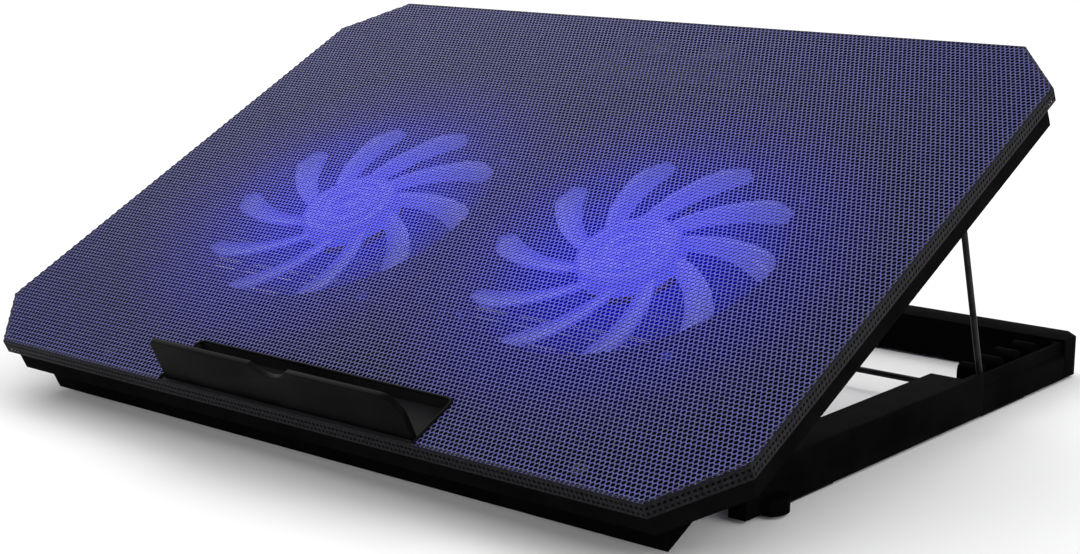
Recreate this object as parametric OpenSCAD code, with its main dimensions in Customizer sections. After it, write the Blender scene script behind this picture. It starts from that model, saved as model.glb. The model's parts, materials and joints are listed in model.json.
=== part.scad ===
// Laptop cooling pad: a perforated deck with two lit fans, tilted on a low base by a wire stay.
// Frame: millimetres, +X right, +Y to the rear, +Z up, origin on the table under the middle.

/* [Deck] */
// Width of the deck, left to right
deck_w = 370; // [340:1:400]
// Depth of the deck, front to rear, along its own slope
deck_d = 272; // [260:1:290]
// Length that each cut corner takes off the front and rear edges
corner_x = 23.5; // [15:0.5:30]
// Length that each cut corner takes off the side edges
corner_y = 26.5; // [15:0.5:30]
// Slope of the deck in the highest notch
tilt = 26.7; // [24:0.1:29]
// Thickness of the perforated sheet
sheet_t = 1; // [0.8:0.1:1.2]
// Depth of the sheet's turned-down edge
skirt_h = 6; // [5:0.5:6]

/* [Tray] */
// Distance from the sheet's outline to the tray's outline
tray_inset = 3; // [2.5:0.5:4]
// Depth from the deck's top face to the tray's underside
tray_depth = 16; // [15.5:0.5:17]
// Thickness of the tray's walls
tray_wall = 2; // [1.5:0.5:3]
// Width of the box under the tray's front edge
rail_w = 310.8; // [309:0.2:312]

/* [Fans] */
// Distance of each fan's centre from the middle
fan_x = 72.5; // [71:0.5:76]
// Distance of the fans' centres from the deck's front edge
fan_v = 121; // [110:1:140]
// Radius at the blade tips
tip_r = 61.6; // [58:0.2:62]
// Radius of the hub
hub_r = 21; // [20:0.5:23]
// Number of blades on each fan
blades = 10; // [7:1:11]
// Angle that a blade sweeps back from hub to tip
sweep_deg = 34; // [20:1:45]

/* [Stopper] */
// Width of the recess that the laptop stopper folds into
stop_w = 130; // [120:1:140]
// Height of the stopper above its hinge
stop_h = 19.5; // [17:0.5:19.5]
// Thickness of the stopper
stop_t = 2.4; // [2:0.1:2.6]

/* [Base] */
// Distance from the middle to the arms' outer faces
arm_out = 158; // [156:0.5:160]
// Distance from the middle to the arms' inner faces
arm_in = 141; // [141:0.5:142]
// Height of the arms' top faces above the table
arm_top = 18; // [17:0.5:18]
// Number of teeth on each step rack
teeth = 4; // [2:1:4]
// Distance from one tooth to the next
tooth_pitch = 15.4; // [15:0.1:15.4]

/* [Wire stay] */
// Diameter of the wire
wire_d = 2.6; // [2:0.1:2.6]
// Distance from the middle to each leg
leg_x = 153.3; // [153:0.1:153.5]

/* [Hidden] */
$fn = 64;

// Stopper, in deck coordinates
stop_v0 = 1;
stop_v1 = 24.5;
stop_floor = -5;
stop_wall = 1;
stop_axis_v = 3.9;
stop_axis_n = -2.5;
stop_pin_r = 0.8;
stop_barrel_r = 1.8;
notch_d = 4;
// Places along Y are counted from the deck's front edge, and front_y moves them to the frame.
rear_y = 319.2;
front_reach = (stop_axis_n + stop_h) * sin(tilt) - (stop_axis_v - stop_t / 2) * cos(tilt);
front_y = -(rear_y - front_reach) / 2;
// Height of the deck's front top edge above the table
edge_z = 24;
// Tray
tray_floor = 2.5;
tray_top = -sheet_t;
well = tray_depth - tray_floor;
// Tilt hinge, in the deck's own plane coordinates
pivot_v = 17.9;
pivot_n = -23.4;
pivot_y = pivot_v * cos(tilt) - pivot_n * sin(tilt);
pivot_z = edge_z + pivot_v * sin(tilt) + pivot_n * cos(tilt);
pin_r = 1.5;
pin_gap = 0.05;
boss_r = 4.8;
tongue_in = 142;
tongue_out = 149;
slot_gap = 0.6;
// Rail
rail_v0 = 9.9;
rail_v1 = 25.9;
rail_n = -30.7;
rail_wall = 2.4;
// Fans
hub_top = -3;
blade_n = -6.6;
blade_t = 1.4;
blade_pitch = 8;
blade_mean = sweep_deg * 0.6;
blade_root_w = 8;
blade_tip_w = 17;
ring_r = 63.4;
ring_t = 2.4;
shaft_r = 1.5;
// Wire stay: upper pivot in deck coordinates, foot in base coordinates
stay_v = 221.7;
stay_n = -17.9;
stay_y = stay_v * cos(tilt) - stay_n * sin(tilt);
stay_z = edge_z + stay_v * sin(tilt) + stay_n * cos(tilt);
foot_y = 237.3;
foot_z = 8.05;
leg_l = sqrt(pow(foot_y - stay_y, 2) + pow(stay_z - foot_z, 2));
lean = atan2(foot_y - stay_y, stay_z - foot_z);
wire_r = wire_d / 2;
stub_in = 138.5;
// Base
arm_bot = 1.2;
arm_front = 72;
nose_front = 62.6;
nose_in = 151;
arm_rear = 230;
ramp_y = 217.5;
ramp_z = 10.2;
wall_in = 155;
rack_in = arm_in;
rack_out = 150.5;
rack_floor = 6.4;
tooth_y = 242.6;
tooth_w = 7;
bar_front = 302;
cut_corner = 6.5;
groove = 1.4;
shoulder_z = 9.5;
// Electronics
board_v = 252;
board_n = -12.4;
usb_x = 24;
knob_x = -24;
knob_travel = 3;

plastic = [0.05, 0.05, 0.055];

// Puts deck coordinates (across, up the slope, out of the top face) in the frame
module on_deck() {
    translate([0, front_y, edge_z]) rotate([tilt, 0, 0]) children();
}
// Puts base coordinates (across, from the deck's front edge, above the table) in the frame
module on_base() {
    translate([0, front_y, 0]) children();
}
module both_sides() {
    children();
    mirror([1, 0, 0]) children();
}
// A box given by its two corners
module slab(lo, hi) {
    translate(lo) cube([hi[0] - lo[0], hi[1] - lo[1], hi[2] - lo[2]]);
}
// A round rod along X
module rod_x(x0, x1, r) {
    translate([x0, 0, 0]) rotate([0, 90, 0]) cylinder(h = x1 - x0, r = r);
}
// The deck's eight-sided outline, moved in by inset
module outline(inset) {
    w = deck_w / 2 - inset;
    v0 = inset;
    v1 = deck_d - inset;
    cx = corner_x - inset * 0.42;
    cy = corner_y - inset * 0.4;
    polygon([[-w + cx, v0], [w - cx, v0], [w, v0 + cy], [w, v1 - cy], [w - cx, v1],
        [-w + cx, v1], [-w, v1 - cy], [-w, v0 + cy]]);
}
module deck_plate(inset, n0, n1) {
    translate([0, 0, n0]) linear_extrude(n1 - n0) outline(inset);
}
module rounded_rect(x0, y0, x1, y1, r) {
    translate([x0 + r, y0]) square([x1 - x0 - 2 * r, y1 - y0]);
    translate([x0, y0 + r]) square([x1 - x0, y1 - y0 - 2 * r]);
    for (x = [x0 + r, x1 - r], y = [y0 + r, y1 - r]) translate([x, y]) circle(r);
}

// ---- deck ----

// The perforated sheet, folded down at its edge; the holes are too fine for this model
module mesh_panel() {
    color([0.08, 0.08, 0.10]) on_deck() difference() {
        deck_plate(0, -skirt_h, 0);
        deck_plate(sheet_t, -skirt_h - 1, -sheet_t);
        translate([0, 0, -sheet_t - 1]) linear_extrude(sheet_t + 2)
            rounded_rect(-stop_w / 2, stop_v0, stop_w / 2, stop_v1, 3);
    }
}

module fan_opening() {
    difference() {
        circle(ring_r);
        circle(24);
        for (v = [2.7 - ring_r : 4.6 : ring_r]) translate([-ring_r, v]) square([2 * ring_r, 1.9]);
        for (x = [-34, 0, 34]) translate([x - 1.5, -ring_r]) square([3, 2 * ring_r]);
    }
}

module tray() {
    color(plastic) on_deck() difference() {
        deck_plate(tray_inset, -tray_depth, tray_top);
        deck_plate(tray_inset + tray_wall, -well, tray_top + 1);
        // Stopper recess
        slab([-stop_w / 2, -1, stop_floor - stop_wall], [stop_w / 2, stop_v1, 1]);
        // Grilles under the fans
        for (s = [-1, 1]) translate([s * fan_x, fan_v, -tray_depth - 1])
            linear_extrude(tray_floor + 2) fan_opening();
        // Screw holes of the fan motors, the rail and the stay clips
        for (s = [-1, 1], a = [0 : 120 : 240]) translate([s * fan_x, fan_v, 0]) rotate(a)
            translate([16.5, 0, -tray_depth - 1]) cylinder(h = tray_floor + 2, r = 1.2);
        for (x = [-120, -45, 45, 120]) translate([x, pivot_v, -tray_depth - 1])
            cylinder(h = tray_floor + 2, r = 1.5);
        // Windows for the sockets and the switch in the rear wall
        for (x = [-usb_x / 3, usb_x])
            slab([x - 7, deck_d - 8, board_n - 0.2], [x + 7, deck_d, board_n + 6.2]);
        slab([knob_x - 5, deck_d - 8, board_n + 1.6], [knob_x + 5, deck_d, board_n + 5]);
    }
}

// Box under the front edge that holds the tilt hinge
module front_rail() {
    color(plastic) on_deck() difference() {
        slab([-rail_w / 2, rail_v0, rail_n], [rail_w / 2, rail_v1, -tray_depth]);
        slab([-tongue_in + 4, rail_v0 + rail_wall, rail_n + rail_wall],
            [tongue_in - 4, rail_v1 - rail_wall, -tray_depth - rail_wall]);
        // Slots for the base's tongues, open to the rear and underneath
        both_sides() slab([tongue_in - slot_gap, rail_v0 + rail_wall, rail_n - 1],
            [tongue_out + slot_gap, rail_v1 + 1, -tray_depth - 1.6]);
        // Seats of the hinge pins
        for (x = [-tongue_out - 4.5, tongue_in - 4.5]) translate([x, pivot_v, pivot_n])
            rod_x(0, tongue_out - tongue_in + 9, pin_r);
        for (x = [-120, -45, 45, 120]) translate([x, pivot_v, -tray_depth - 9])
            cylinder(h = 10, r = 1.5);
    }
}

module hinge_pins() {
    color("silver") on_deck() both_sides() translate([0, pivot_v, pivot_n])
        rod_x(tongue_in - 4, tongue_out + 4, pin_r);
}

module rail_screws() {
    color("silver") on_deck() for (x = [-120, -45, 45, 120]) translate([x, pivot_v, 0]) {
        translate([0, 0, -tray_depth - 6]) cylinder(h = tray_floor + 6, r = 1.5);
        translate([0, 0, -well]) difference() {
            cylinder(h = 1.8, r = 3);
            translate([0, 0, 0.9]) linear_extrude(2) for (a = [0, 90]) rotate(a)
                square([3.6, 0.8], center = true);
        }
    }
}

// ---- stopper ----

module stopper_recess() {
    color(plastic) on_deck() difference() {
        translate([0, 0, stop_floor - stop_wall]) linear_extrude(-stop_floor + stop_wall)
            rounded_rect(-stop_w / 2, stop_v0, stop_w / 2, stop_v1, 3);
        translate([0, 0, stop_floor]) linear_extrude(-stop_floor + 1)
            rounded_rect(-stop_w / 2 + stop_wall, stop_v0 + stop_wall, stop_w / 2 - stop_wall,
                stop_v1 - stop_wall + 0.3, 0.5);
        translate([0, stop_axis_v, stop_axis_n]) rod_x(-stop_w, stop_w, stop_pin_r);
    }
}

module stopper_pin() {
    color("silver") on_deck() translate([0, stop_axis_v, stop_axis_n])
        rod_x(-stop_w / 2, stop_w / 2, stop_pin_r);
}

// Outline of the raised stopper, across and up from its hinge
module stopper_outline(w) {
    big_r = 9;
    difference() {
        union() {
            square([w - big_r, stop_h]);
            translate([-w, 0]) square([w, stop_h - 2]);
            translate([-w + 2, 0]) square([w, stop_h]);
            translate([-w + 2, stop_h - 2]) circle(2);
            square([w, stop_h - big_r]);
            translate([w - big_r, stop_h - big_r]) circle(big_r);
        }
        translate([0, stop_h + 9]) circle(9 + notch_d);
    }
}

module stopper_flap() {
    w = stop_w / 2 - stop_wall - 0.6;
    color(plastic) on_deck() translate([0, stop_axis_v, stop_axis_n]) difference() {
        union() {
            translate([0, stop_t / 2, 0]) rotate([90, 0, 0]) linear_extrude(stop_t) stopper_outline(w);
            rod_x(-w, w, stop_barrel_r);
        }
        rod_x(-stop_w, stop_w, stop_pin_r + pin_gap);
    }
}

// ---- fans ----

module at_fan(s) {
    on_deck() translate([s * fan_x, fan_v, 0]) children();
}

// One blade: its middle line sweeps back as it leaves the hub, and its tip is round
function blade_half(t) = (blade_root_w + (blade_tip_w - blade_root_w) * t) / 2
    * (t > 0.86 ? sqrt(max(0, 1 - pow((t - 0.86) / 0.14, 2))) : 1);
function blade_point(t, side) =
    let (r = hub_r - 1 + (tip_r - hub_r + 1) * t,
        a = -sweep_deg * pow(t, 0.8) + side * asin(min(1, blade_half(t) / r)))
    [r * cos(a), r * sin(a)];
blade_steps = [0 : 0.0625 : 1];
module blade() {
    polygon(concat([for (t = blade_steps) blade_point(t, -1)],
        [for (t = [0.9375 : -0.0625 : 0]) blade_point(t, 1)]));
}

module fan_rotor(s) {
    color([0.35, 0.45, 1.0]) at_fan(s) difference() {
        union() {
            translate([0, 0, -10]) cylinder(h = hub_top + 10, r = hub_r);
            for (i = [0 : blades - 1]) rotate(360 / blades * i) translate([0, 0, blade_n])
                rotate(-blade_mean) rotate([-blade_pitch, 0, 0]) rotate(blade_mean)
                    linear_extrude(blade_t, center = true) blade();
        }
        translate([0, 0, -12]) difference() {
            cylinder(h = 12 + hub_top - 1.6, r = hub_r - 1.8);
            cylinder(h = 20, r = shaft_r);
        }
        translate([0, 0, -30]) cylinder(h = 18.5, r = 10);
    }
}

module fan_ring(s) {
    color(plastic) at_fan(s) difference() {
        translate([0, 0, -well]) cylinder(h = well - 2.5, r = ring_r + ring_t);
        translate([0, 0, -well - 1]) cylinder(h = well + 2, r = ring_r);
        // Notch for the lead, and seats of the lamps
        slab([-1.6, ring_r - 2, -well - 1], [1.6, ring_r + 4, -well + 2.6]);
        for (a = [45 : 90 : 315]) rotate(a) translate([0, 0, -8]) rod_x(ring_r - 1, ring_r + 5, 1.5);
    }
}

module fan_motor(s) {
    color([0.55, 0.35, 0.15]) at_fan(s) difference() {
        union() {
            translate([0, 0, -well]) cylinder(h = 2, r = 20.5);
            translate([0, 0, -well]) cylinder(h = 8, r = 13.5);
            for (a = [0 : 40 : 320]) rotate(a) translate([7, -1.5, -well + 3]) cube([10.5, 3, 4]);
        }
        translate([0, 0, -well - 1]) cylinder(h = 12, r = 3.4);
        for (a = [0 : 120 : 240]) rotate(a) translate([16.5, 0, -well - 1]) cylinder(h = 3.5, r = 1.2);
    }
}

module fan_bush(s) {
    color("goldenrod") at_fan(s) difference() {
        translate([0, 0, -well]) cylinder(h = 8.4, r = 3.4);
        translate([0, 0, -well + 1]) cylinder(h = 12, r = shaft_r + pin_gap);
    }
}

module fan_screws() {
    color("silver") for (s = [-1, 1]) at_fan(s) for (a = [0 : 120 : 240]) rotate(a)
        translate([16.5, 0, 0]) {
            translate([0, 0, -tray_depth]) cylinder(h = tray_floor + 2, r = 1.2);
            translate([0, 0, -tray_depth - 1.2]) cylinder(h = 1.2, r = 2.4);
        }
}

module blue_leds() {
    color([0.3, 0.4, 1.0]) for (s = [-1, 1]) at_fan(s) for (a = [45 : 90 : 315]) rotate(a)
        translate([0, 0, -8]) {
            rod_x(ring_r - 0.3, ring_r + 4, 1.5);
            rod_x(ring_r + 2.6, ring_r + 3.4, 1.9);
        }
}

// ---- electronics ----

// Leads from the motors to the board, lying on the tray's floor
module fan_leads() {
    r = 1;
    n = -well + r;
    back = board_v - 17;
    color("dimgray") on_deck() both_sides() {
        translate([fan_x, fan_v + 20.5, n]) rotate([-90, 0, 0]) cylinder(h = back - fan_v - 20.5, r = r);
        translate([fan_x, back, n]) sphere(r);
        translate([12, back, n]) rod_x(0, fan_x - 12, r);
        translate([12, back, n]) sphere(r);
        translate([12, back, n]) rotate([-90, 0, 0]) cylinder(h = board_v - 8 - back, r = r);
    }
}

module power_board() {
    color("darkgreen") on_deck() difference() {
        slab([-40, board_v - 8, -well], [40, deck_d - tray_inset - tray_wall - 0.4, board_n]);
        for (x = [-36, 36]) translate([x, board_v, -20]) cylinder(h = 20, r = 1.6);
    }
}

module usb_ports() {
    v1 = deck_d - tray_inset - 0.3;
    color("silver") on_deck() for (x = [-usb_x / 3, usb_x]) difference() {
        slab([x - 6.7, v1 - 14, board_n], [x + 6.7, v1, board_n + 5.7]);
        slab([x - 6.2, v1 - 11, board_n + 0.4], [x + 6.2, v1 + 1, board_n + 5.3]);
    }
}

module switch_housing() {
    v1 = deck_d - tray_inset - tray_wall - 0.2;
    color("silver") on_deck() difference() {
        slab([knob_x - 8, v1 - 6, board_n], [knob_x + 8, v1, board_n + 6]);
        slab([knob_x - 4.4, v1 - 4, board_n + 1.7], [knob_x + 4.4, v1 + 1, board_n + 4.5]);
    }
}

module switch_knob() {
    v1 = deck_d - tray_inset - tray_wall - 0.2;
    x0 = knob_x - knob_travel / 2;
    color("white") on_deck() {
        slab([x0 - 1.5, v1 - 3.6, board_n + 2], [x0 + 1.5, v1 + 3.4, board_n + 4.2]);
        for (dx = [-1.1, 0.3]) slab([x0 + dx, v1 + 3.3, board_n + 2.2], [x0 + dx + 0.8, v1 + 3.8, board_n + 4]);
    }
}

// ---- wire stay ----

// Saddles under the tray that hold the stay's bent-in ends
module stay_clips() {
    color(plastic) on_deck() both_sides() difference() {
        slab([stub_in - 1.5, stay_v - 5.5, stay_n - 3.1], [stub_in + 9.5, stay_v + 5.5, -tray_depth]);
        translate([0, stay_v, stay_n]) rod_x(stub_in - 0.5, stub_in + 12, wire_r + pin_gap);
    }
}

module stay_wire() {
    color("silver") on_base() translate([0, stay_y, stay_z]) rotate([lean, 0, 0]) {
        translate([0, 0, -leg_l]) rod_x(-leg_x, leg_x, wire_r);
        for (s = [-1, 1]) {
            translate([min(s * stub_in, s * leg_x), 0, 0]) rod_x(0, leg_x - stub_in, wire_r);
            translate([s * leg_x, 0, -leg_l]) cylinder(h = leg_l, r = wire_r);
            for (z = [-leg_l, 0]) translate([s * leg_x, 0, z]) sphere(wire_r + 0.1);
        }
    }
}

// ---- base ----

// Side shape of an arm's front part, with a ramp down to the first notch
module arm_side() {
    polygon([[arm_front, arm_bot], [arm_rear, arm_bot], [arm_rear, ramp_z], [ramp_y, arm_top],
        [arm_front + 3, arm_top], [arm_front, arm_top - 3]]);
}
// Extrudes a side shape (along Y and up) across from x0 to x1
module across(x0, x1) {
    translate([x0, 0, 0]) rotate([90, 0, 90]) linear_extrude(x1 - x0) children();
}

module front_arm() {
    foot_y0 = nose_front + 9;
    difference() {
        union() {
            across(arm_in, wall_in) arm_side();
            across(wall_in, arm_out) difference() {
                translate([nose_front, arm_bot]) square([arm_rear - nose_front, arm_top - arm_bot]);
                translate([nose_front - 1, arm_top + 1]) rotate(-45) square([12, 12], center = true);
            }
            slab([nose_in, nose_front, arm_bot], [wall_in + 1, arm_front + 1, arm_top - 6]);
            // Tongue and hinge boss
            slab([tongue_in, pivot_y, pivot_z - boss_r], [tongue_out, arm_front + 2, pivot_z + 3]);
            translate([0, pivot_y, pivot_z]) rod_x(tongue_in, tongue_out, boss_r);
            // Outer toe
            translate([arm_out - 1, foot_y0 + 6, arm_bot]) intersection() {
                cylinder(h = 6, r = 7.5);
                slab([0, -6, 0], [8, 6, 6]);
            }
        }
        translate([0, pivot_y, pivot_z]) rod_x(tongue_in - 1, tongue_out + 1, pin_r + pin_gap);
        // Hollow underside
        slab([arm_in + 2.5, arm_front + 8, 0], [wall_in - 0.5, ramp_y - 8, arm_top - 2.5]);
        // Recess of the front foot pad, and the screw into the rack
        slab([146, 90, 0], [157, 120, arm_bot + 0.5]);
        translate([148, arm_rear - 10, arm_bot + 3.5]) rotate([-90, 0, 0]) cylinder(h = 12, r = 1.2);
    }
}
module front_arm_right() {
    color(plastic) on_base() front_arm();
}
module front_arm_left() {
    color(plastic) on_base() mirror([1, 0, 0]) front_arm();
}

// Cross-section of the rear part's outer wall: upright, set in above a rounded shoulder
module wall_section() {
    translate([wall_in - 2, arm_bot]) square([arm_out - wall_in + 2, shoulder_z - arm_bot]);
    translate([wall_in - 2, arm_bot]) square([arm_out - groove - wall_in + 2, arm_top - 1 - arm_bot]);
    translate([arm_out - 3, shoulder_z]) circle(3);
}

module step_rack() {
    tooth_r = tooth_w / 2;
    difference() {
        union() {
            // Floor, inner rack and outer wall
            slab([rack_in, arm_rear, arm_bot], [wall_in - 2, bar_front, rack_floor]);
            translate([0, bar_front, 0]) rotate([90, 0, 0]) linear_extrude(bar_front - arm_rear)
                intersection() {
                    wall_section();
                    translate([wall_in - 2, 0]) square([arm_out - wall_in + 2, arm_top]);
                }
            for (i = [0 : teeth - 1]) across(rack_in, rack_out)
                translate([tooth_y + tooth_pitch * i, 0]) {
                    translate([-tooth_r, arm_bot]) square([tooth_w, arm_top - tooth_r - arm_bot]);
                    translate([0, arm_top - tooth_r]) circle(tooth_r);
                }
        }
        // Room for the wire's legs beside the rack
        slab([rack_out, arm_rear - 1, rack_floor], [wall_in, bar_front - 4, arm_top + 1]);
        // Recess of the rear foot pad, and the screws
        slab([146, 232, 0], [157, 268, arm_bot + 0.5]);
        translate([148, arm_rear - 1, arm_bot + 3.5]) rotate([-90, 0, 0]) cylinder(h = 7, r = 1.2);
        translate([148, bar_front - 8, arm_bot + 2.6]) rotate([-90, 0, 0]) cylinder(h = 9, r = 1.2);
    }
}
module step_rack_right() {
    color(plastic) on_base() step_rack();
}
module step_rack_left() {
    color(plastic) on_base() mirror([1, 0, 0]) step_rack();
}

module rear_bar() {
    color(plastic) on_base() difference() {
        translate([0, 0, arm_bot]) linear_extrude(arm_top - arm_bot)
            polygon([[-arm_out, bar_front], [arm_out, bar_front], [arm_out, rear_y - cut_corner],
                [arm_out - cut_corner, rear_y], [-arm_out + cut_corner, rear_y],
                [-arm_out, rear_y - cut_corner]]);
        slab([-arm_in, bar_front + 2.5, 0], [arm_in, rear_y - 2.5, arm_top - 2.5]);
        both_sides() translate([148, bar_front - 1, arm_bot + 2.6]) rotate([-90, 0, 0])
            cylinder(h = 10, r = 1.2);
    }
}

module base_feet() {
    color("dimgray") on_base() both_sides() {
        slab([146, 90, 0], [157, 120, arm_bot + 0.5]);
        slab([146, 232, 0], [157, 268, arm_bot + 0.5]);
    }
}

module base_screws() {
    color("silver") on_base() both_sides() {
        translate([148, arm_rear - 10, arm_bot + 3.5]) rotate([-90, 0, 0]) cylinder(h = 16, r = 1.2);
        translate([148, bar_front - 8, arm_bot + 2.6]) rotate([-90, 0, 0]) cylinder(h = 17, r = 1.2);
    }
}

mesh_panel();
tray();
front_rail();
stopper_recess();
stopper_pin();
stopper_flap();
fan_ring(-1);  // fan_ring_left
fan_ring(1);  // fan_ring_right
fan_motor(-1);  // fan_motor_left
fan_motor(1);  // fan_motor_right
fan_bush(-1);  // fan_bush_left
fan_bush(1);  // fan_bush_right
fan_rotor(-1);  // fan_rotor_left
fan_rotor(1);  // fan_rotor_right
blue_leds();
fan_leads();
power_board();
usb_ports();
switch_housing();
switch_knob();
fan_screws();
rail_screws();
stay_clips();
stay_wire();
hinge_pins();
front_arm_left();
front_arm_right();
step_rack_left();
step_rack_right();
rear_bar();
base_feet();
base_screws();
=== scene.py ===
import json
import math

import bmesh
import bpy
import numpy as np
from mathutils import Matrix, Vector


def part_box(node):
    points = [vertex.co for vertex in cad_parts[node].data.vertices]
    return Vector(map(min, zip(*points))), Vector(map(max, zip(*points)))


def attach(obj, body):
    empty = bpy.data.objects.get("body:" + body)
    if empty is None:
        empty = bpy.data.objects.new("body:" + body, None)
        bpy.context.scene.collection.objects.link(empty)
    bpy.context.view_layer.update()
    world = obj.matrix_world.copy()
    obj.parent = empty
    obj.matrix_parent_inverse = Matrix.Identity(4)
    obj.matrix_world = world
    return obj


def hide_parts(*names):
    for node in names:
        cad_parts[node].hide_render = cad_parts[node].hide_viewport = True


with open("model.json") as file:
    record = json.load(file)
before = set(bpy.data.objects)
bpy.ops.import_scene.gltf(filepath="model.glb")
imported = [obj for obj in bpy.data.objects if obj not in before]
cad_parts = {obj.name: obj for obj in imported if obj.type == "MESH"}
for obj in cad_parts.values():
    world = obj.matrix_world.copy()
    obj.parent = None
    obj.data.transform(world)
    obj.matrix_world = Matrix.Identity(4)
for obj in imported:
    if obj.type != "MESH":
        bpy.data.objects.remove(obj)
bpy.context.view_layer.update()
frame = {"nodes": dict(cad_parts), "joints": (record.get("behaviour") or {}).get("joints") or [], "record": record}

MM = 0.001
nodes = frame["nodes"]
joints = {j["name"]: j for j in frame["joints"]}


# ---- where the deck is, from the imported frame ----

def deck_axes():
    """The deck's slope, origin (middle of its front top edge), width, depth and edge, from its box."""
    normal = Vector(joints["fan_left_spin"]["axis"]).normalized()
    c, s = normal.z, -normal.y
    lo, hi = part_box("mesh_panel")
    across_y, across_z = hi.y - lo.y, hi.z - lo.z
    k = c * c - s * s
    depth = (across_y * c - across_z * s) / k
    skirt = (across_z * c - across_y * s) / k
    return c, s, Vector((0, lo.y, lo.z + skirt * c)), hi.x - lo.x, depth, skirt


COS, SIN, DECK_ORIGIN, DECK_W, DECK_D, SKIRT = deck_axes()
CORNER_X, CORNER_Y = 23.5 * MM, 26.5 * MM
DECK_MATRIX = Matrix((
    (1, 0, 0, DECK_ORIGIN.x),
    (0, COS, -SIN, DECK_ORIGIN.y),
    (0, SIN, COS, DECK_ORIGIN.z),
    (0, 0, 0, 1),
))


def deck_local(point):
    """World point to deck coordinates: across, up the slope, out of the top face."""
    return DECK_MATRIX.inverted() @ Vector(point)


# ---- camera, lights and floor ----

def make_camera():
    right = Vector((0.770706, 0.637183, 0.003352))
    up = Vector((-0.136014, 0.159373, 0.977804))
    back = Vector((0.622506, -0.754055, 0.209496))
    camera = bpy.data.cameras.new("camera")
    camera.lens = 66.75
    camera.sensor_width = 36
    camera.clip_end = 20
    obj = bpy.data.objects.new("camera", camera)
    bpy.context.scene.collection.objects.link(obj)
    rotation = Matrix((right, up, back)).transposed().to_4x4()
    # The camera's place, counted from the middle of the deck's front top edge
    place = DECK_ORIGIN + Vector((508.14, -469.08, 195.68)) * MM
    obj.matrix_world = Matrix.Translation(place) @ rotation
    bpy.context.scene.camera = obj


def area_light(name, place, target, size, power, color=(1, 1, 1)):
    light = bpy.data.lights.new(name, "AREA")
    light.shape = "RECTANGLE"
    light.size, light.size_y = size
    light.energy = power
    light.color = color
    obj = bpy.data.objects.new(name, light)
    bpy.context.scene.collection.objects.link(obj)
    obj.location = place
    obj.rotation_euler = (Vector(target) - Vector(place)).to_track_quat("-Z", "Y").to_euler()


def make_stage():
    world = bpy.data.worlds.new("studio")
    bpy.context.scene.world = world
    world.use_nodes = True
    background = world.node_tree.nodes["Background"]
    background.inputs["Color"].default_value = (1, 1, 1, 1)
    background.inputs["Strength"].default_value = 1.0
    bpy.context.scene.view_settings.view_transform = "Standard"
    # A soft panel high on the left gives the deck its sheen, and a low one lights the right side
    area_light("key", (-1.3, 0.75, 1.25), (-0.1, 0, 0.05), (1.2, 1.2), 10)
    area_light("side", (1.1, 0.1, 0.55), (0.15, 0.0, 0.0), (0.5, 0.9), 3)
    bpy.ops.mesh.primitive_plane_add(size=8)
    floor = bpy.context.object
    floor.name = "floor"
    material, shader = new_material("floor_paper")
    colour_by_noise(material, shader, (0.93, 0.93, 0.93), (0.95, 0.95, 0.95), 3.0)
    shader.inputs["Roughness"].default_value = 0.9
    shader.inputs["Specular IOR Level"].default_value = 0.1
    floor.data.materials.append(material)


# ---- materials ----

def new_material(name):
    material = bpy.data.materials.new(name)
    material.use_nodes = True
    return material, material.node_tree.nodes["Principled BSDF"]


def object_coordinates(material, scale=1.0):
    tree = material.node_tree
    source = tree.nodes.new("ShaderNodeTexCoord")
    mapping = tree.nodes.new("ShaderNodeMapping")
    mapping.inputs["Scale"].default_value = (scale, scale, scale)
    tree.links.new(source.outputs["Object"], mapping.inputs["Vector"])
    return mapping.outputs["Vector"]


def noise(material, scale, detail=3.0):
    tree = material.node_tree
    node = tree.nodes.new("ShaderNodeTexNoise")
    node.inputs["Scale"].default_value = scale
    node.inputs["Detail"].default_value = detail
    tree.links.new(object_coordinates(material), node.inputs["Vector"])
    return node.outputs["Fac"]


def ramp(material, factor, stops):
    """Colours (r, g, b) at places from 0 to 1."""
    tree = material.node_tree
    node = tree.nodes.new("ShaderNodeValToRGB")
    elements = node.color_ramp.elements
    while len(elements) < len(stops):
        elements.new(0.5)
    for element, (place, color) in zip(elements, stops):
        element.position = place
        element.color = (*color, 1)
    tree.links.new(factor, node.inputs["Fac"])
    return node.outputs["Color"]


def colour_by_noise(material, shader, dark, light, scale):
    out = ramp(material, noise(material, scale), [(0.35, dark), (0.65, light)])
    material.node_tree.links.new(out, shader.inputs["Base Color"])


def roughness_by_noise(material, shader, low, high, scale):
    tree = material.node_tree
    node = tree.nodes.new("ShaderNodeMapRange")
    node.inputs["To Min"].default_value = low
    node.inputs["To Max"].default_value = high
    tree.links.new(noise(material, scale), node.inputs["Value"])
    tree.links.new(node.outputs["Result"], shader.inputs["Roughness"])


def bump_by_noise(material, shader, scale, strength, distance):
    tree = material.node_tree
    node = tree.nodes.new("ShaderNodeBump")
    node.inputs["Strength"].default_value = strength
    node.inputs["Distance"].default_value = distance
    tree.links.new(noise(material, scale, 2.0), node.inputs["Height"])
    tree.links.new(node.outputs["Normal"], shader.inputs["Normal"])


def moulded_plastic(name, dark, light, rough=(0.55, 0.7), grain=0.25, spec=0.003):
    material, shader = new_material(name)
    colour_by_noise(material, shader, dark, light, 40)
    roughness_by_noise(material, shader, *rough, 120)
    bump_by_noise(material, shader, 2600, grain, 0.0001)
    shader.inputs["Specular IOR Level"].default_value = spec
    return material


def metal(name, dark, light, rough, scale=300):
    material, shader = new_material(name)
    colour_by_noise(material, shader, dark, light, scale)
    roughness_by_noise(material, shader, *rough, scale * 2)
    bump_by_noise(material, shader, 1800, 0.15, 0.00005)
    shader.inputs["Metallic"].default_value = 1.0
    return material


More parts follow.
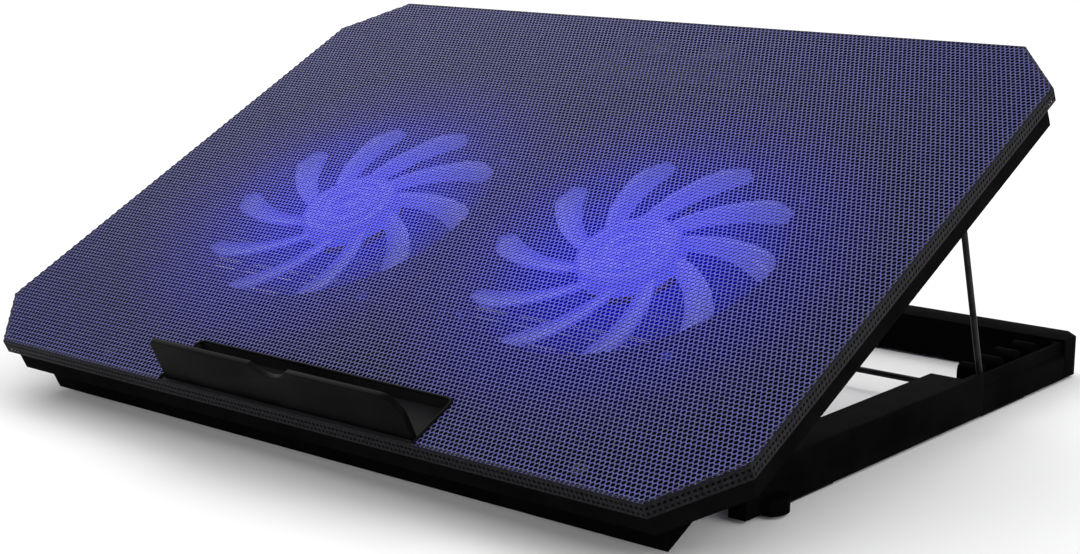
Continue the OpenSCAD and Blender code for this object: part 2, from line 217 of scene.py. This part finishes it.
def rubber(name, dark, light):
    material, shader = new_material(name)
    colour_by_noise(material, shader, dark, light, 90)
    roughness_by_noise(material, shader, 0.7, 0.85, 200)
    bump_by_noise(material, shader, 1500, 0.3, 0.0001)
    shader.inputs["Specular IOR Level"].default_value = 0.3
    return material


def distance_to_fans(material):
    """How far a point is from the nearer fan's centre, in metres."""
    tree = material.node_tree
    source = object_coordinates(material)
    outputs = []
    for name in ("fan_left_spin", "fan_right_spin"):
        node = tree.nodes.new("ShaderNodeVectorMath")
        node.operation = "DISTANCE"
        node.inputs[1].default_value = joints[name]["pos_m"]
        tree.links.new(source, node.inputs[0])
        outputs.append(node.outputs["Value"])
    nearest = tree.nodes.new("ShaderNodeMath")
    nearest.operation = "MINIMUM"
    tree.links.new(outputs[0], nearest.inputs[0])
    tree.links.new(outputs[1], nearest.inputs[1])
    return nearest.outputs["Value"]


def glow_near_fans(material, shader, stops, reach, strength):
    """Painted light: an emitted colour that stands for the light the lamps throw on a surface; it fades with the
    distance from each fan.
    """
    tree = material.node_tree
    node = tree.nodes.new("ShaderNodeMapRange")
    node.inputs["From Min"].default_value = 0
    node.inputs["From Max"].default_value = reach
    tree.links.new(distance_to_fans(material), node.inputs["Value"])
    out = ramp(material, node.outputs["Result"], stops)
    tree.links.new(out, shader.inputs["Emission Color"])
    shader.inputs["Emission Strength"].default_value = strength


def sheen_and_glow_paint():
    """Black paint, flecked, whose blue-violet base colour is a painted sheen, with a painted blue glow, emitted,
    around the fans.
    """
    material, shader = new_material("sheen_and_glow_paint")
    # Painted sheen: the blue-violet base colour stands for blue lamp light and reflections on black paint
    colour_by_noise(material, shader, (0.044, 0.044, 0.17), (0.085, 0.085, 0.29), 900)
    roughness_by_noise(material, shader, 0.35, 0.5, 400)
    bump_by_noise(material, shader, 3000, 0.2, 0.00005)
    shader.inputs["Specular IOR Level"].default_value = 0.12
    # Painted light: an emitted blue glow around the fans, for the lamps' light on the sheet
    glow_near_fans(material, shader, [
        (0.0, (0.015, 0.015, 0.7)),
        (0.35, (0.008, 0.008, 0.5)),
        (0.65, (0.002, 0.002, 0.16)),
        (1.0, (0.0, 0.0, 0.0)),
    ], 0.1, 1.0)
    return material


def shaded_sheet_paint():
    """Painted shade: the sheet's paint, darkened for its folded edge and punched walls, which lie out of the
    light.
    """
    material, shader = new_material("shaded_sheet_paint")
    colour_by_noise(material, shader, (0.004, 0.004, 0.006), (0.012, 0.012, 0.014), 900)
    roughness_by_noise(material, shader, 0.4, 0.55, 400)
    bump_by_noise(material, shader, 3000, 0.2, 0.00005)
    shader.inputs["Specular IOR Level"].default_value = 0.06
    return material


def lit_tray():
    # Near-black plastic with a painted blue glow, emitted around the fans, that stands for the lamps' light
    material = moulded_plastic("lit_tray", (0.002, 0.002, 0.0022), (0.004, 0.004, 0.0042))
    shader = material.node_tree.nodes["Principled BSDF"]
    glow_near_fans(material, shader, [
        (0.0, (0.003, 0.003, 0.6)),
        (0.35, (0.002, 0.002, 0.35)),
        (0.62, (0.001, 0.001, 0.06)),
        (1.0, (0.0, 0.0, 0.0)),
    ], 0.1, 1.0)
    return material


def lit_blades():
    """Clear blue plastic with a painted glow, emitted, that stands for the lamps' light, brighter towards the hub.
    """
    material, shader = new_material("lit_blades")
    colour_by_noise(material, shader, (0.05, 0.055, 0.3), (0.08, 0.085, 0.4), 60)
    roughness_by_noise(material, shader, 0.15, 0.3, 90)
    glow_near_fans(material, shader, [
        (0.0, (0.075, 0.08, 1.0)),
        (0.5, (0.07, 0.08, 0.85)),
        (1.0, (0.06, 0.07, 0.4)),
    ], 0.065, 1.0)
    shader.inputs["Coat Weight"].default_value = 0.3
    return material


def lamp_lens():
    material, shader = new_material("lamp_lens")
    colour_by_noise(material, shader, (0.02, 0.025, 0.2), (0.03, 0.035, 0.3), 500)
    roughness_by_noise(material, shader, 0.05, 0.15, 300)
    shader.inputs["Emission Color"].default_value = (0.05, 0.06, 1.0, 1)
    shader.inputs["Emission Strength"].default_value = 0.2
    return material


def worn_wire():
    """Black lacquer on steel wire, rubbed to grey here and there."""
    material, shader = new_material("worn_wire")
    colour_by_noise(material, shader, (0.004, 0.004, 0.005), (0.02, 0.02, 0.022), 160)
    roughness_by_noise(material, shader, 0.35, 0.5, 200)
    bump_by_noise(material, shader, 900, 0.2, 0.00005)
    shader.inputs["Metallic"].default_value = 0.3
    shader.inputs["Specular IOR Level"].default_value = 0.1
    return material


def board_mask():
    material, shader = new_material("board_mask")
    colour_by_noise(material, shader, (0.003, 0.02, 0.008), (0.005, 0.035, 0.013), 700)
    roughness_by_noise(material, shader, 0.5, 0.6, 300)
    shader.inputs["Specular IOR Level"].default_value = 0.05
    return material


BLACK = moulded_plastic("black_plastic", (0.0014, 0.0014, 0.0016), (0.003, 0.003, 0.0032))
SATIN = moulded_plastic(
    "satin_plastic", (0.002, 0.002, 0.0022), (0.005, 0.005, 0.0055), (0.35, 0.45), 0.12, 0.02)
RECESS = moulded_plastic(
    "recess_plastic", (0.01, 0.01, 0.011), (0.018, 0.018, 0.02), (0.5, 0.6), 0.12, 0.03)
STEEL = metal("black_zinc", (0.03, 0.03, 0.032), (0.06, 0.06, 0.06), (0.4, 0.55))
BY_SLOT = {
    "black_plastic": BLACK,
    "mesh_metal": sheen_and_glow_paint(),
    "flap_plastic": SATIN,
    "steel": STEEL,
    "wire_steel": worn_wire(),
    "copper_core": metal("copper_coil", (0.5, 0.2, 0.08), (0.7, 0.32, 0.13), (0.3, 0.45), 900),
    "bush_brass": metal("bush_brass", (0.6, 0.42, 0.14), (0.75, 0.55, 0.2), (0.25, 0.35)),
    "blue_blades": lit_blades(),
    "led_lens": lamp_lens(),
    "lead_rubber": rubber("lead_jacket", (0.012, 0.012, 0.012), (0.02, 0.02, 0.02)),
    "board_green": board_mask(),
    "knob_plastic": moulded_plastic("knob_plastic", (0.03, 0.03, 0.03), (0.05, 0.05, 0.05)),
    "foot_rubber": rubber("foot_rubber", (0.015, 0.015, 0.015), (0.03, 0.03, 0.03)),
}
SHADED_PAINT = shaded_sheet_paint()
LIT_TRAY = lit_tray()
SLOT_OF = {row["node"]: row["material_slot"] for row in frame["record"]["subparts"]}


# ---- making and placing pieces ----

def finish_piece(obj, body, slot, replaced=(), material=None):
    obj.data.materials.clear()
    obj.data.materials.append(material or BY_SLOT[slot])
    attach(obj, body)
    if replaced:
        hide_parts(*replaced)
    return obj


def mesh_object(name, verts, faces, smooth=False):
    mesh = bpy.data.meshes.new(name)
    mesh.from_pydata([tuple(v) for v in verts], [], [tuple(f) for f in faces])
    mesh.update()
    obj = bpy.data.objects.new(name, mesh)
    bpy.context.scene.collection.objects.link(obj)
    if smooth:
        mesh.polygons.foreach_set("use_smooth", [True] * len(mesh.polygons))
    return obj


def apply_modifiers(obj):
    graph = bpy.context.evaluated_depsgraph_get()
    made = bpy.data.meshes.new_from_object(obj.evaluated_get(graph))
    obj.modifiers.clear()
    obj.data = made


def softened(node, body, width, material=None, segments=3, angle=35):
    """A copy of a CAD node with its edges rounded as a moulding's are."""
    source = nodes[node].data.copy()
    work = bmesh.new()
    work.from_mesh(source)
    bmesh.ops.remove_doubles(work, verts=work.verts, dist=1e-6)
    bmesh.ops.dissolve_limit(work, angle_limit=math.radians(1), verts=work.verts, edges=work.edges)
    work.to_mesh(source)
    work.free()
    obj = bpy.data.objects.new(node + "_shell", source)
    bpy.context.scene.collection.objects.link(obj)
    bevel = obj.modifiers.new("edges", "BEVEL")
    bevel.width = width
    bevel.segments = segments
    bevel.limit_method = "ANGLE"
    bevel.angle_limit = math.radians(angle)
    bevel.harden_normals = False
    apply_modifiers(obj)
    obj.data.polygons.foreach_set("use_smooth", [True] * len(obj.data.polygons))
    obj.data.set_sharp_from_angle(angle=math.radians(30))
    return finish_piece(obj, body, SLOT_OF[node], (node,), material)


# ---- perforated sheet ----

HOLE_PITCH = 1.93 * MM
ROW_PITCH = 1.95 * MM
SHEET_T = 0.35 * MM
PUNCH_R = 0.66 * MM  # of the round holes in the folded edge
HOLE_SHARE = 0.76  # size of a hole beside its cell
TRAY_INSIDE_N = -15.5 * MM  # the tray's faces above this height are inside it, and take the painted glow
STUB_X = 138.5 * MM  # where the stay's bent-in ends stop
BEND_R = 4 * MM  # of the stay's wire, along its middle line


def outline_planes(inset):
    """The deck outline's eight sides, as (normal x, normal y, distance)."""
    w, d = DECK_W / 2 - inset, DECK_D - inset
    planes = [(1, 0, w), (-1, 0, w), (0, 1, d), (0, -1, -inset)]
    length = math.hypot(CORNER_X, CORNER_Y)
    nx, ny = CORNER_Y / length, CORNER_X / length
    for sx in (1, -1):
        for sy, corner in ((1, DECK_D), (-1, 0)):
            reach = nx * (DECK_W / 2 - CORNER_X) + sy * ny * corner - inset
            planes.append((sx * nx, sy * ny, reach))
    return planes


def sheet_cells():
    """Centres of the sheet's cells, in offset rows, inside the outline and clear of the recess."""
    rows = np.arange(ROW_PITCH / 2, DECK_D, ROW_PITCH)
    columns = np.arange(-DECK_W / 2, DECK_W / 2 + HOLE_PITCH, HOLE_PITCH)
    u, v = np.meshgrid(columns, rows)
    u[1::2] += HOLE_PITCH / 2
    cells = np.stack([u.ravel(), v.ravel()], 1)
    keep = np.ones(len(cells), bool)
    for nx, ny, reach in outline_planes(0.4 * MM):
        keep &= cells @ (nx, ny) < reach
    (u0, v0), (u1, v1) = recess_rect()
    inside = (cells[:, 0] > u0) & (cells[:, 0] < u1) & (cells[:, 1] < v1)
    return cells[keep & ~inside]


def recess_rect():
    """The stopper recess in deck coordinates: its low and high corners."""
    corners = [deck_local(v.co) for v in nodes["stopper_recess"].data.vertices]
    xs, ys = [p.x for p in corners], [p.y for p in corners]
    return (min(xs), min(ys)), (max(xs), max(ys))


def clamp_to_outline(points):
    for nx, ny, reach in outline_planes(0.25 * MM):
        over = np.maximum(0, points @ (nx, ny) - reach)
        points = points - over[:, None] * (nx, ny)
    (u0, _), (u1, v1) = recess_rect()
    inside = (points[:, 0] > u0) & (points[:, 0] < u1) & (points[:, 1] < v1)
    gaps = np.stack([points[:, 0] - u0, u1 - points[:, 0], v1 - points[:, 1]], 1)
    side = gaps.argmin(1)
    points[inside & (side == 0), 0] = u0
    points[inside & (side == 1), 0] = u1
    points[inside & (side == 2), 1] = v1
    return points


def make_sheet_top():
    """The top face: a web of six-sided cells, each with a hole that has real walls.

    A cell has three rings of six corners: its outline, the hole's edge and the foot of its wall.
    """
    tall, short = ROW_PITCH * 2 / 3, ROW_PITCH / 3
    half = HOLE_PITCH / 2
    ring = np.array([
        (0, -tall), (half, -short), (half, short), (0, tall), (-half, short), (-half, -short)])
    hole = ring * HOLE_SHARE
    strips = 4
    cells = sheet_cells()
    edges = np.linspace(-DECK_W / 2 - 1 * MM, DECK_W / 2 + 2 * MM, strips + 1)
    for strip in range(strips):
        part = cells[(cells[:, 0] >= edges[strip]) & (cells[:, 0] < edges[strip + 1])]
        count = len(part)
        flat = np.concatenate([part[:, None] + ring, part[:, None] + hole, part[:, None] + hole], 1)
        flat = clamp_to_outline(flat.reshape(-1, 2)).reshape(count, 18, 2)
        depth = np.zeros((count, 18, 1))
        depth[:, 12:] = -SHEET_T
        verts = np.concatenate([flat, depth], 2).reshape(-1, 3)
        verts = verts @ np.array(DECK_MATRIX.to_3x3()).T + np.array(DECK_ORIGIN)
        k = np.arange(6)
        after = (k + 1) % 6
        quads = np.concatenate([
            np.stack([k, after, after + 6, k + 6], 1),
            np.stack([k + 6, after + 6, after + 12, k + 12], 1),
        ])
        faces = (np.arange(count)[:, None, None] * 18 + quads).reshape(-1, 4)
        obj = mesh_object(f"sheet_top_{strip + 1}", verts, faces)
        finish_piece(obj, "deck", "mesh_metal", ("mesh_panel",))
        # The punched walls get the darkened copy of the paint: painted shade
        obj.data.materials.append(SHADED_PAINT)
        obj.data.polygons.foreach_set("material_index", np.tile(np.repeat((0, 1), 6), count))


def outline_loop(inset, n):
    w = DECK_W / 2 - inset
    k = inset * 0.41
    cx, cy = CORNER_X - k, CORNER_Y - k
    low, high = inset, DECK_D - inset
    return [DECK_MATRIX @ Vector((x, y, n)) for x, y in (
        (w - cx, low), (w, low + cy), (w, high - cy), (w - cx, high),
        (-w + cx, high), (-w, high - cy), (-w, low + cy), (-w + cx, low))]


def swept_outline(name, profile, slot="mesh_metal", replaced="mesh_panel"):
    """A strip that follows the deck's outline; profile is a list of (inset, height)."""
    loops = [outline_loop(inset, n) for inset, n in profile]
    verts = [p for loop in loops for p in loop]
    faces = []
    for row in range(len(profile) - 1):
        for k in range(8):
            a, b = row * 8 + k, row * 8 + (k + 1) % 8
            faces.append((a, a + 8, b + 8, b))
    obj = mesh_object(name, verts, faces)
    # Every strip takes the darkened sheet paint: painted shade on the sheet's fold and hem, and near black on the
    # tray's lip
    return finish_piece(obj, "deck", slot, (replaced,), SHADED_PAINT)


def make_sheet_edge():
    """The folded edge: a rounded fold, two rows of holes, and a plain hem, over the tray's lip."""
    fold = [(1.0 * MM * (1 - math.sin(a)), 1.0 * MM * (math.cos(a) - 1) + 0.02 * MM)
            for a in np.linspace(-0.25, math.pi / 2, 7)]
    swept_outline("sheet_fold", fold)
    top, bottom = -1.0 * MM, -SKIRT + 0.5 * MM
    swept_outline("sheet_hem", [(0, bottom), (0, -SKIRT), (0.5 * MM, -SKIRT), (0.5 * MM, bottom)])
    lip = [(1.2, -0.6), (1.2, -5.8), (2.9, -5.8), (2.9, -0.6), (1.2, -0.6)]
    swept_outline("tray_lip", [(a * MM, n * MM) for a, n in lip], "black_plastic", "tray")
    corners = [(p.x, p.y) for p in (DECK_MATRIX.inverted() @ q for q in outline_loop(0, 0))]
    height = (top - bottom) / 2
    verts, faces = [], []
    for k in range(8):
        start, end = np.array(corners[k]), np.array(corners[(k + 1) % 8])
        for row in range(2):
            skirt_row(verts, faces, start, end, top - height * (row + 0.5), height / 2)
    obj = mesh_object("sheet_skirt", verts, faces)
    # The folded edge takes the darkened sheet paint: painted shade
    finish_piece(obj, "deck", "mesh_metal", ("mesh_panel",), SHADED_PAINT)


def skirt_row(verts, faces, start, end, middle, half_height):
    """One row of cells along a side of the folded edge, each with a round hole and its wall."""
    length = np.linalg.norm(end - start)
    along = (end - start) / length
    inward = np.array((-along[1], along[0]))
    count = round(length / HOLE_PITCH)
    half_width = length / count / 2
    border = [(-1, -1), (0, -1), (1, -1), (1, 0), (1, 1), (0, 1), (-1, 1), (-1, 0)]
    turns = [math.pi * (1.25 + step / 4) for step in range(8)]
    for i in range(count):
        base = len(verts)
        centre = (i + 0.5) * 2 * half_width
        rings = [[(ds * half_width, dn * half_height, 0) for ds, dn in border]]
        for deep in (0, SHEET_T):
            rings.append([(PUNCH_R * math.cos(a), PUNCH_R * math.sin(a), deep) for a in turns])
        for ds, dn, deep in (corner for ring in rings for corner in ring):
            p = start + along * (centre + ds) + inward * deep
            verts.append(DECK_MATRIX @ Vector((p[0], p[1], middle + dn)))
        for step in range(8):
            after = (step + 1) % 8
            for ring in (base, base + 8):
                faces.append((ring + step, ring + after, ring + 8 + after, ring + 8 + step))


# ---- fans ----

BLADES = 10
TIP_R, HUB_R = 61.6 * MM, 21 * MM
SWEEP = math.radians(34)
BLADE_N = -6.6 * MM
BLADE_T = 1.2 * MM
# The hub turned: (radius, height) in millimetres, from the middle of its face to its underside
HUB_PROFILE = [
    (0, -3.0), (6, -3.0), (6.6, -3.3), (14, -3.3), (14.6, -3.0), (19, -3.0), (20.3, -3.35),
    (21, -4.2), (21, -10), (19.4, -10), (19.2, -4.8), (0, -4.8),
]


def blade_half_width(t):
    half = (6.5 + 8.5 * t) / 2 * MM
    if t > 0.84:
        half *= math.sqrt(max(0.0, 1 - ((t - 0.84) / 0.16) ** 2))
    return max(half, 0.3 * MM)


def make_rotor(node, joint, body):
    """Hub with a domed face and ten cambered, swept blades."""
    centre = deck_local(joints[joint]["pos_m"])
    work = bmesh.new()
    steps, across = 16, 7
    for blade in range(BLADES):
        turn = math.tau / BLADES * blade
        rows = []
        for i in range(steps + 1):
            t = i / steps
            r = HUB_R - 1 * MM + (TIP_R - HUB_R + 1 * MM) * t
            half = blade_half_width(t)
            pitch = math.radians(14 - 6 * t)
            row = []
            for j in range(across):
                s = 2 * j / (across - 1) - 1
                a = turn - SWEEP * t ** 0.8 + math.asin(half * s * math.cos(pitch) / r)
                n = BLADE_N + half * s * math.sin(pitch) * 0.85 + 0.7 * MM * (1 - s * s)
                row.append(work.verts.new((r * math.cos(a), r * math.sin(a), n)))
            rows.append(row)
        for low, high in zip(rows, rows[1:]):
            for j in range(across - 1):
                work.faces.new((low[j], high[j], high[j + 1], low[j + 1]))
    mesh = bpy.data.meshes.new(node + "_blades")
    work.to_mesh(mesh)
    work.free()
    obj = bpy.data.objects.new(node + "_blades", mesh)
    bpy.context.scene.collection.objects.link(obj)
    solid = obj.modifiers.new("thickness", "SOLIDIFY")
    solid.thickness = BLADE_T
    solid.offset = 0
    apply_modifiers(obj)
    lathe(obj, HUB_PROFILE, 72)
    place = DECK_MATRIX @ Matrix.Translation((centre.x, centre.y, 0))
    obj.data.transform(place)
    obj.data.polygons.foreach_set("use_smooth", [True] * len(obj.data.polygons))
    obj.data.set_sharp_from_angle(angle=math.radians(40))
    finish_piece(obj, body, "blue_blades", (node,))


def lathe(obj, profile, segments):
    """Adds a turned solid, from (radius, height) points in millimetres, to a mesh."""
    work = bmesh.new()
    work.from_mesh(obj.data)
    rings = []
    for r, n in profile:
        if r == 0:
            rings.append([work.verts.new((0, 0, n * MM))])
            continue
        rings.append([
            work.verts.new((r * MM * math.cos(math.tau * k / segments),
                            r * MM * math.sin(math.tau * k / segments), n * MM))
            for k in range(segments)])
    for a, b in zip(rings, rings[1:]):
        for k in range(segments):
            m = (k + 1) % segments
            if len(a) == 1:
                work.faces.new((a[0], b[k], b[m]))
            elif len(b) == 1:
                work.faces.new((a[m], a[k], b[0]))
            else:
                work.faces.new((a[k], b[k], b[m], a[m]))
    bmesh.ops.recalc_face_normals(work, faces=work.faces)
    work.to_mesh(obj.data)
    work.free()


# ---- wire stay ----

def rounded_path(points, radius, steps=8):
    """The polyline with each inner corner turned on an arc."""
    path = [points[0]]
    for before, corner, after in zip(points, points[1:], points[2:]):
        a, b = (before - corner).normalized(), (after - corner).normalized()
        angle = a.angle(b)
        reach = radius / math.tan(angle / 2)
        centre = corner + (a + b).normalized() * radius / math.sin(angle / 2)
        start, end = corner + a * reach - centre, corner + b * reach - centre
        for k in range(steps + 1):
            path.append(centre + start.slerp(end, k / steps) * radius)
    path.append(points[-1])
    return path


def make_tray():
    """The tray: only its inside carries a painted blue glow that stands for the lamps' light."""
    obj = softened("tray", "deck", 0.4 * MM)
    obj.data.materials.append(LIT_TRAY)
    for face in obj.data.polygons:
        if deck_local(face.center).z > TRAY_INSIDE_N:
            face.material_index = 1


def make_recess_rim():
    """A rounded lip round the stopper's recess, on three sides, over the sheet's cut edge."""
    (u0, v0), (u1, v1) = recess_rect()
    r, turn = 0.7 * MM, 3 * MM
    path = [(u0, v0), *[(u0 + turn - turn * math.sin(a), v1 - turn + turn * math.cos(a))
                        for a in np.linspace(math.pi / 2, 0, 6)],
            *[(u1 - turn + turn * math.sin(a), v1 - turn + turn * math.cos(a))
              for a in np.linspace(0, math.pi / 2, 6)], (u1, v0)]
    tube_along("recess_rim", [DECK_MATRIX @ Vector((x, y, 0)) for x, y in path], r, 3)
    finish_piece(bpy.data.objects["recess_rim"], "deck", "flap_plastic", ("stopper_recess",))


def make_stay():
    lo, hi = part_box("stay_wire")
    radius = 1.3 * MM
    top = Vector(joints["stay_fold"]["pos_m"])
    leg_x = hi.x - radius - 0.1 * MM
    foot_y, foot_z = hi.y - radius, lo.z + radius + 0.1 * MM
    right = [
        Vector((STUB_X, top.y, top.z)),
        Vector((leg_x, top.y, top.z)),
        Vector((leg_x, foot_y, foot_z)),
    ]
    left = [Vector((-p.x, p.y, p.z)) for p in reversed(right)]
    tube_along("stay_wire_bent", rounded_path(right + left, BEND_R), radius, 5)
    finish_piece(bpy.data.objects["stay_wire_bent"], "stay", "wire_steel", ("stay_wire",))


def tube_along(name, path, radius, resolution):
    """A round bar that follows a path, closed at its ends."""
    curve = bpy.data.curves.new(name + "_path", "CURVE")
    curve.dimensions = "3D"
    curve.bevel_depth = radius
    curve.bevel_resolution = resolution
    curve.use_fill_caps = True
    spline = curve.splines.new("POLY")
    spline.points.add(len(path) - 1)
    for point, place in zip(spline.points, path):
        point.co = (*place, 1)
    obj = bpy.data.objects.new(name + "_path", curve)
    bpy.context.scene.collection.objects.link(obj)
    bpy.context.view_layer.update()
    mesh = bpy.data.meshes.new_from_object(obj.evaluated_get(bpy.context.evaluated_depsgraph_get()))
    bpy.data.objects.remove(obj)
    tube = bpy.data.objects.new(name, mesh)
    bpy.context.scene.collection.objects.link(tube)
    mesh.polygons.foreach_set("use_smooth", [True] * len(mesh.polygons))


# ---- the scene ----

make_camera()
make_stage()
make_sheet_top()
make_sheet_edge()
make_rotor("fan_rotor_left", "fan_left_spin", "fan_left")
make_rotor("fan_rotor_right", "fan_right_spin", "fan_right")
make_stay()
make_recess_rim()
softened("stopper_flap", "stopper", 0.7 * MM)
softened("stopper_recess", "deck", 0.35 * MM, RECESS)
softened("front_rail", "deck", 0.8 * MM)
for end in ("left", "right"):
    softened("front_arm_" + end, "base", 0.8 * MM)
    softened("step_rack_" + end, "base", 0.6 * MM)
softened("rear_bar", "base", 0.9 * MM)
softened("stay_clips", "deck", 0.5 * MM)
softened("base_feet", "base", 0.4 * MM)
make_tray()

for node, obj in nodes.items():
    material = BY_SLOT[SLOT_OF[node]]
    # The fan rings take the tray's painted blue glow
    if node.startswith("fan_ring"):
        material = LIT_TRAY
    for place in obj.material_slots:
        place.material = material
